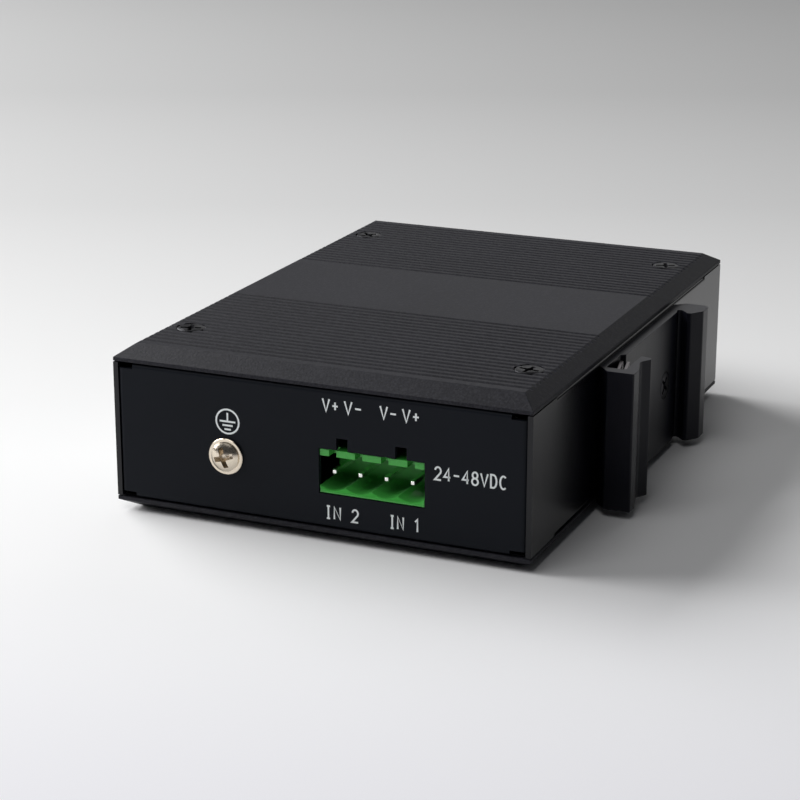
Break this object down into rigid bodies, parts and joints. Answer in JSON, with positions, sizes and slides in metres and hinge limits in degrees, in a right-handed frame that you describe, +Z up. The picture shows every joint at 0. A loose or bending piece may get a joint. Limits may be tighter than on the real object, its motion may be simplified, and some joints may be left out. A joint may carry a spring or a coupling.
{
  "type": "din rail ethernet switch",
  "caption": "Flat metal-cased network switch with grooved covers, a pluggable power header, a ground screw and a sprung clip for a 35 mm rail.",
  "frame": {"origin": "middle of the whole object's footprint, on the plane the lower cover lies on", "axes": "+X from the port face towards the rail clip, +Y from the power panel to the plain end panel, +Z up through the thickness"},
  "size_m": [0.09, 0.1177, 0.032],
  "materials": {
    "cover_metal": "fine sandblasted charcoal anodising",
    "panel_paint": "satin black powder coat",
    "side_paint": "satin black powder coat",
    "clip_metal": "satin black anodising",
    "black_screw": "black oxide",
    "nickel": "nickel plate",
    "spring_steel": "bright spring steel",
    "steel_nut": "zinc plate",
    "header_green": "moulded, slightly glossy",
    "tinned_pin": "tin plate",
    "port_shell": "nickel-plated sheet",
    "port_black": "moulded",
    "gold_wire": "gold plate",
    "lamp_lens": "clear diffusing lens",
    "board_green": "solder mask",
    "chip_black": "moulded package",
    "can_metal": "sleeved can",
    "ferrite": "ferrite and lacquer"
  },
  "bodies": {
    "root": {"board_screws": "steel_nut", "bottom_cover": "cover_metal", "bottom_cover_screws": "black_screw", "circuit_board": "board_green", "clip_screws": "black_screw", "clip_spring": "spring_steel", "clock_crystal": "can_metal", "end_panel": "panel_paint", "filter_capacitors": "can_metal", "ground_screw": "nickel", "ground_washer": "nickel", "header_pins": "tinned_pin", "indicator_housing": "port_black", "indicator_lamps": "lamp_lens", "input_fuses": "chip_black", "isolation_transformer": "ferrite", "line_transformers": "chip_black", "memory_chip": "chip_black", "port_contacts_1": "gold_wire", "port_contacts_2": "gold_wire", "port_contacts_3": "gold_wire", "port_contacts_4": "gold_wire", "port_contacts_5": "gold_wire", "port_insert_1": "port_black", "port_insert_2": "port_black", "port_insert_3": "port_black", "port_insert_4": "port_black", "port_insert_5": "port_black", "port_panel": "side_paint", "port_shield_1": "port_shell", "port_shield_2": "port_shell", "port_shield_3": "port_shell", "port_shield_4": "port_shell", "port_shield_5": "port_shell", "power_header": "header_green", "power_inductors": "ferrite", "power_panel": "panel_paint", "rail_clip": "clip_metal", "rail_panel": "side_paint", "surge_suppressors": "chip_black", "switch_chip": "chip_black", "top_cover": "cover_metal", "top_cover_screws": "black_screw", "voltage_regulator": "chip_black"}
  },
  "joints": []
}
